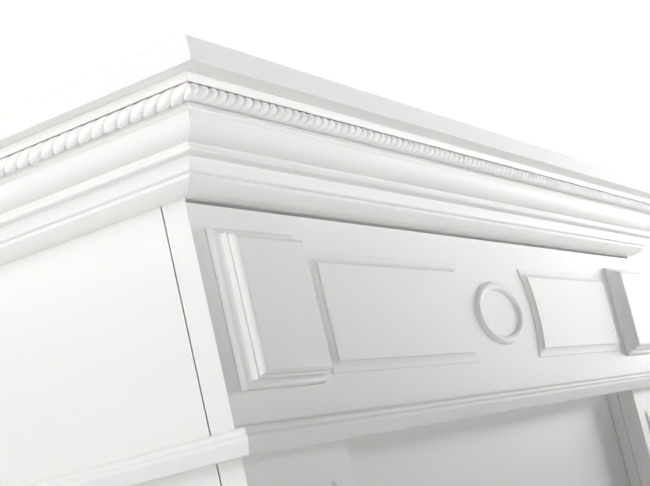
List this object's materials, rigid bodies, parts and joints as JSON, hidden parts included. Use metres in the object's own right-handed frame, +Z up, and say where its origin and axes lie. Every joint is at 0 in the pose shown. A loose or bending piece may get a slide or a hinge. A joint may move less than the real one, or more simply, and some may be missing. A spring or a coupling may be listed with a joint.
{
  "type": "fireplace mantelpiece",
  "caption": "White lacquered fireplace surround with a rope-moulded cornice, raised frieze panels, an oval bead and fluted pilasters.",
  "frame": {"origin": "centre of the footprint of the whole surround, on the floor", "axes": "+X to the right along the front, +Y back to the wall, +Z up; the front faces -Y"},
  "size_m": [1.364, 0.381, 1.0901],
  "materials": {
    "white_lacquer": "satin white lacquer",
    "inner_paint": "plain matt white paint"
  },
  "bodies": {
    "root": {"top_board": "white_lacquer", "cornice_front": "white_lacquer", "cornice_left": "white_lacquer", "cornice_right": "white_lacquer", "rope_front": "white_lacquer", "rope_left": "white_lacquer", "rope_right": "white_lacquer", "lower_moulding_front": "white_lacquer", "lower_moulding_left": "white_lacquer", "lower_moulding_right": "white_lacquer", "frieze_board": "white_lacquer", "inner_panel": "inner_paint", "block_left": "white_lacquer", "block_right": "white_lacquer", "pilaster_left": "white_lacquer", "pilaster_right": "white_lacquer", "side_left": "white_lacquer", "side_right": "white_lacquer", "batten_left": "inner_paint", "batten_right": "inner_paint", "plinth_front_left": "white_lacquer", "plinth_front_right": "white_lacquer", "plinth_side_left": "white_lacquer", "plinth_side_right": "white_lacquer", "header_rail": "inner_paint", "back_rail": "inner_paint"}
  },
  "joints": []
}
